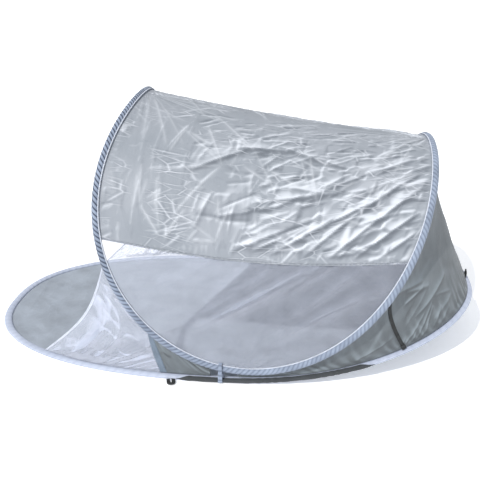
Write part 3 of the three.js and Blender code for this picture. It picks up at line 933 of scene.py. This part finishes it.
def build_wall():
    rng = np.random.default_rng(31)
    across, w = grid(420, 110)
    points = wall_points(2 * across - 1, w)
    around, down = cloth_lengths(points)
    middle_length = around[:, around.shape[1] // 2]
    p = np.broadcast_to(middle_length[:, None], across.shape)
    total = middle_length[-1]
    left, right = (0.22 * total, 0.38 * total), (0.62 * total, 0.78 * total)
    height = seeded_folds(
        p, down, rng,
        (26, right, (0.15, 0.42), (0.08, 0.26), (-0.9, 0.3), (0.002, 0.006), (0.004, 0.01)),
        (26, left, (0.15, 0.42), (0.08, 0.26), (2.8, 4.0), (0.002, 0.006), (0.004, 0.01)),
        (30, (0, total), (0.02, 0.6), (0.08, 0.3), ANY_WAY, (-0.002, 0.002), (0.005, 0.01)),
    )
    height += facets(p, down, 0.16, 0.04, rng)
    bottom = down[:, -1:] - down
    height += pucker(bottom, p, 0.045, 0.003, 0.05) + pucker(down, p, 0.03, 0.0015, 0.03)
    height *= smoothstep(np.minimum(down, bottom) / 0.03)
    wall = cloth_sheet("rear_wall_cloth", raised(points, height), uv=(p, down))
    store_tilt(wall, height, p, down, down_axis=1)
    finish_piece(wall, GREY_CLOTH, ["rear_wall"], body="rear_half")


def build_strap(side, sign):
    """Webbing from the canopy hoop down to the floor hoop, with a sewn foot at its lower end."""
    step_aside = 0.01
    across, w = grid(5, 90)
    s = np.full_like(w, sign * STRAP_SHARE)
    centre = wall_points(s, w)
    along = unit(np.gradient(centre, axis=1))
    beside = unit(wall_points(s + sign * step_aside, w) - centre)
    outward = unit(np.cross(beside, along))
    outward *= np.where((outward * centre * (1, 1, 0)).sum(-1, keepdims=True) < 0, -1, 1)
    beside = np.cross(along, outward)
    stand_off = 3 * MM + 2 * MM * np.sin(np.pi * w)
    sideways = beside * ((across - 0.5) * STRAP_WIDTH)[..., None]
    points = centre + sideways + outward * stand_off[..., None]
    strap = cloth_sheet(f"strap_webbing_{side}", points, 1.6 * MM)
    finish_piece(strap, BLACK_WEBBING, [f"rear_strap_{side}"], body="rear_half")
    covered = w[0] > 1 - STRAP_FOOT_SHARE
    pad_points = (centre + outward * STRAP_FOOT_RISE + sideways * STRAP_FOOT_SPREAD)[:, covered]
    foot = cloth_sheet(f"strap_foot_{side}", pad_points, 2.5 * MM)
    finish_piece(foot, BLACK_WEBBING, body="rear_half")


# ---- Entrance gussets, hems, tapes and side skirts ----
def side_points(start, end, s, w):
    """s runs from one pair of places on the hoops to the other, w from the canopy down to the floor."""
    top = on_canopy(start["hoop"] + (end["hoop"] - start["hoop"]) * s)
    bottom = on_floor(start["ring"] + (end["ring"] - start["ring"]) * s)
    return between(top, bottom, w)


def hem_share(w):
    return HEM_DIP * np.sin(np.pi * w**0.8)


def width_share(width, w):
    """The share of the gusset that a width takes up at height w."""
    zero = np.zeros_like(w)
    reach = side_points(HEM, SKIRT_SEAM, zero + 1, w) - side_points(HEM, SKIRT_SEAM, zero, w)
    return width / np.linalg.norm(reach, axis=-1)


def mirrored(points, sign):
    return points * (sign, 1, 1)


def build_gusset(side, sign):
    rng = np.random.default_rng(41)
    under_tape = 0.9
    i, w = grid(90, 110)
    start, end = hem_share(w), 1 - width_share(SEAM_TAPE_WIDTH, w) * under_tape
    points = side_points(HEM, SKIRT_SEAM, start + (end - start) * i, w)
    across, down = cloth_lengths(points)
    height = seeded_folds(
        across, down, rng,
        (12, (0.02, 0.12), (0.02, 0.15), (0.25, 0.5), (0.9, 1.5), (0.003, 0.007), (0.012, 0.03)),
        (14, (0.0, 0.3), (0.3, 0.6), (0.08, 0.25), (-0.7, 0.9), (-0.004, 0.005), (0.01, 0.02)),
    )
    height += facets(across, down, 0.09, 0.07, rng)
    bottom = down[:, -1:] - down
    height += pucker(bottom, across, 0.05, 0.003, 0.04)
    height *= smoothstep(np.minimum(down, bottom) / 0.03) * smoothstep(i / 0.05)
    cloth = cloth_sheet(f"gusset_net_{side}", mirrored(raised(points, height), sign))
    store_tilt(cloth, height, across, down, down_axis=1, strength=5.0)
    finish_piece(cloth, GUSSET_NET, [f"gusset_{side}"], body="front_half")


def build_hem(side, sign):
    """Binding folded round the gusset's free edge, with a row of stitches."""
    thickness, stitched_row = 2.4 * MM, 5
    across, w = grid(7, 120)
    share = hem_share(w) + width_share(HEM_WIDTH, w) * across
    points = side_points(HEM, SKIRT_SEAM, share, w)
    normals = grid_normals(points)
    crown = 1.5 * MM * np.sin(np.pi * across)
    hem = cloth_sheet(f"hem_binding_{side}", mirrored(raised(points, crown), sign), thickness)
    finish_piece(hem, WHITE_TAPE, [f"gusset_hem_{side}"], body="front_half")
    upward = normals[stitched_row]
    row = points[stitched_row] + upward * thickness
    thread = stitch_row(f"hem_stitches_{side}", mirrored(row, sign), mirrored(upward, sign))[0]
    finish_piece(thread, THREAD, body="front_half")


def build_tape(side, sign):
    """Tape over the seam between the gusset and the side skirt, with a crown and slight waves."""
    across, w = grid(6, 60)
    share = 1 + width_share(SEAM_TAPE_WIDTH, w) * (across - 1)
    points = side_points(HEM, SKIRT_SEAM, share, w)
    crown = 1.2 * MM * np.sin(np.pi * across)
    crown = crown + 0.6 * MM * np.sin(2 * np.pi * w * 9) * across
    tape = cloth_sheet(f"seam_tape_{side}", mirrored(raised(points, crown), sign), 2 * MM)
    finish_piece(tape, SEAM_TAPE, [f"skirt_tape_{side}"], body="front_half")


def build_skirt(side, sign):
    rng = np.random.default_rng(47)
    i, w = grid(80, 40)
    points = side_points(SKIRT_SEAM, SKIRT_END, i, w)
    across, down = cloth_lengths(points)
    height = facets(across, down, 0.05, 0.06, rng)
    height += pucker(down, across, 0.04, 0.0015, 0.03)
    height *= smoothstep(np.minimum(down, down[:, -1:] - down) / 0.02)
    skirt = cloth_sheet(f"side_skirt_cloth_{side}", mirrored(raised(points, height), sign))
    store_tilt(skirt, height, across, down, down_axis=1)
    finish_piece(skirt, GREY_CLOTH, [f"side_skirt_{side}"], body="front_half")


# ---- Groundsheet ----
def build_groundsheet():
    """One sheet inside the floor hoop. It lies flat up to LYING_SHARE of the way out, then rises to
    the lifted rear of the hoop."""
    rng = np.random.default_rng(53)
    i, k = grid(120, 220)
    reach = FLOOR_HALF_LENGTH - FLOOR_SLEEVE_RADII[0] + SEWN_IN
    half_width = FLOOR_HALF_WIDTH - FLOOR_SLEEVE_RADII[0] + SEWN_IN
    y = -reach * np.cos(np.pi * (0.01 + 0.98 * k))
    edge_x = half_width * (1 - np.abs(y / reach) ** FLOOR_SQUARENESS) ** (1 / FLOOR_SQUARENESS)
    x = (2 * i - 1) * edge_x
    radial = np.abs(x / half_width) ** FLOOR_SQUARENESS + np.abs(y / reach) ** FLOOR_SQUARENESS
    radial = np.maximum(radial ** (1 / FLOOR_SQUARENESS), 0.02)
    risen = np.maximum(0, radial - LYING_SHARE) / (1 - LYING_SHARE)
    height = 1.5 * MM + lift_at(y / radial) * risen**2
    waves = seeded_folds(
        x, y, rng,
        (10, (0.1, 0.45), (-0.9, -0.6), (0.12, 0.3), (1.6, 2.6), (0.002, 0.004), (0.006, 0.01)),
        (50, (-0.5, 0.5), (-0.95, 0.9), (0.1, 0.35), ANY_WAY, (0.001, 0.004), (0.01, 0.03)),
    )
    waves += np.maximum(facets(x, y, 0.2, 0.05, rng), 0) + np.maximum(facets(x, y, 0.07, 0.03, rng), 0)
    rim = (1 - radial) * half_width
    waves *= smoothstep(rim / 0.03)
    height = height + np.abs(waves) + smoothstep(1 - rim / 0.03) * 5 * MM
    sheet = cloth_sheet("groundsheet_cloth", np.stack([x, y, height], -1), uv=(x, y))
    finish_piece(sheet, GROUND_CLOTH, ["groundsheet_front", "groundsheet_rear"])


# ---- Side tacks and peg loops ----
def u_turn(along, straight, radius):
    """A path up a straight leg, round a half circle and down the other leg: each point's height on the
    legs, and its angle round the half circle."""
    total = 2 * straight + math.pi * radius
    distance = along * total
    height = np.minimum(np.minimum(distance, total - distance), straight)
    return height, np.clip((distance - straight) / radius, 0, math.pi)


def build_tack(side):
    """A bridge of sleeve cloth, sewn over the crossing of the two hoops."""
    low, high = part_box(f"tack_{side}")
    middle, half_width = (low + high) / 2, (high.x - low.x) / 2 - MM
    across, along = grid(9, 60)
    height, turn = u_turn(along, high.z - half_width - MM - low.z, half_width)
    x = middle.x + half_width * np.cos(turn)
    z = low.z + height + half_width * np.sin(turn)
    waist = 0.75 - 0.15 * np.sin(np.pi * along) ** 2
    y = middle.y + (across - 0.5) * (high.y - low.y) * waist
    points = np.stack([x, y, z], -1)
    tack = cloth_sheet(f"tack_webbing_{side}", points, 1.6 * MM)
    finish_piece(tack, SLEEVE_CLOTH, [f"tack_{side}"], body="rear_half")


def build_peg_loop(name, body):
    """A loop of folded tape. It lies in its CAD node's plane, from the sewn end to the rounded end."""
    co = np.array([v.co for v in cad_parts[name].data.vertices])
    centre = (co.min(0) + co.max(0)) / 2
    spread = co - co.mean(0)
    across_loop, beside, outward = np.linalg.eigh(spread.T @ spread)[1].T
    if outward @ (centre - (0, 0, FLOOR_SLEEVE_HALF_HEIGHT)) < 0:
        outward = -outward
    length = np.ptp(co @ outward)
    half = np.ptp(co @ beside) / 2
    start = centre - outward * length / 2
    hole = 0.16 * half
    across, along = grid(6, 70)
    height, turn = u_turn(along, length - half, half)
    radius = hole + (half - hole) * across
    out = height + radius * np.sin(turn)
    aside = radius * np.cos(turn)
    rise = 0.6 * MM * np.sin(np.pi * across) + 0.5 * MM * np.sin(5 * np.pi * along)
    points = start + out[..., None] * outward + aside[..., None] * beside + rise[..., None] * across_loop
    loop = cloth_sheet(name.replace("peg_loop", "peg_loop_webbing"), points, 2 * MM)
    finish_piece(loop, BLACK_WEBBING, [name], body=body)


# ---- Carried-over steel ----
def finish_steel():
    for name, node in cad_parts.items():
        if "wire" in name or "ferrule" in name:
            node.data.materials.clear()
            node.data.materials.append(STEEL)


# ---- Stage, light and camera ----
def build_stage():
    reach, below_ground = 30, -MM
    quarters = ((-1, -1), (1, -1), (1, 1), (-1, 1))
    corners = np.array([[reach * x, reach * y, below_ground] for x, y in quarters])
    floor = mesh_object("stage_floor", corners, np.array([[0, 1, 2, 3]]))
    n = Surface("stage_paper")
    paper = linear(247, 248, 250)
    floor.data.materials.append(n.finish(
        Base_Color=paper, Roughness=0.9, Emission_Color=paper, Emission_Strength=0.3))


def aim(obj, direction):
    obj.rotation_euler = Vector(direction).to_track_quat("-Z", "Y").to_euler()


SUN_DIRECTION = (-0.86, 0.48, -1)


def build_light():
    """A soft sun, and a sky that is bright overhead and dim low down. The camera sees the sky white."""
    sun = bpy.data.lights.new("key", "SUN")
    sun.energy = 2.7
    sun.angle = math.radians(1.2)
    sun.color = (1, 0.985, 0.96)
    aim(new_object("key", sun), SUN_DIRECTION)
    sky = Nodes(bpy.data.worlds.new("soft_box"))
    direction = sky.add("ShaderNodeTexCoord").outputs["Generated"]
    height = sky.add("ShaderNodeSeparateXYZ", Vector=direction).outputs["Z"]
    seen = sky.add("ShaderNodeLightPath").outputs["Is Camera Ray"]
    background = sky.tree.nodes["Background"]
    background.inputs["Color"].default_value = (0.95, 0.97, 1, 1)
    brightness = sky.math("MAXIMUM", sky.span(height, -0.2, 1, 0.12, 1.0), seen)
    sky.put(background.inputs["Strength"], brightness)
    bpy.context.scene.world = sky.owner
    bpy.context.scene.view_settings.view_transform = "Standard"


CAMERA_AZIMUTH = math.radians(95.7)
CAMERA_ELEVATION = math.radians(21.8)
CAMERA_DISTANCE = 2.98
CAMERA_TARGET = Vector((0, 0.032, 0.336))


def build_camera():
    lens = bpy.data.cameras.new("camera")
    lens.lens = 52.5
    lens.sensor_width = 36
    camera = new_object("camera", lens)
    level = math.cos(CAMERA_ELEVATION)
    sideways, backward = math.sin(CAMERA_AZIMUTH) * level, -math.cos(CAMERA_AZIMUTH) * level
    away = Vector((sideways, backward, math.sin(CAMERA_ELEVATION)))
    camera.location = CAMERA_TARGET + away * CAMERA_DISTANCE
    aim(camera, -away)
    bpy.context.scene.camera = camera


build_sleeves()
build_piping()
build_roof()
build_wall()
build_groundsheet()
for side, sign in SIDES:
    build_window(side, sign)
    build_roof_seam(side, sign)
    build_strap(side, sign)
    build_shadow_sheet(side, sign)
    build_gusset(side, sign)
    build_hem(side, sign)
    build_tape(side, sign)
    build_skirt(side, sign)
    build_tack(side)
    build_peg_loop(f"peg_loop_front_{side}", "front_half")
build_peg_loop("peg_loop_rear", "rear_half")
finish_steel()
build_stage()
build_light()
build_camera()
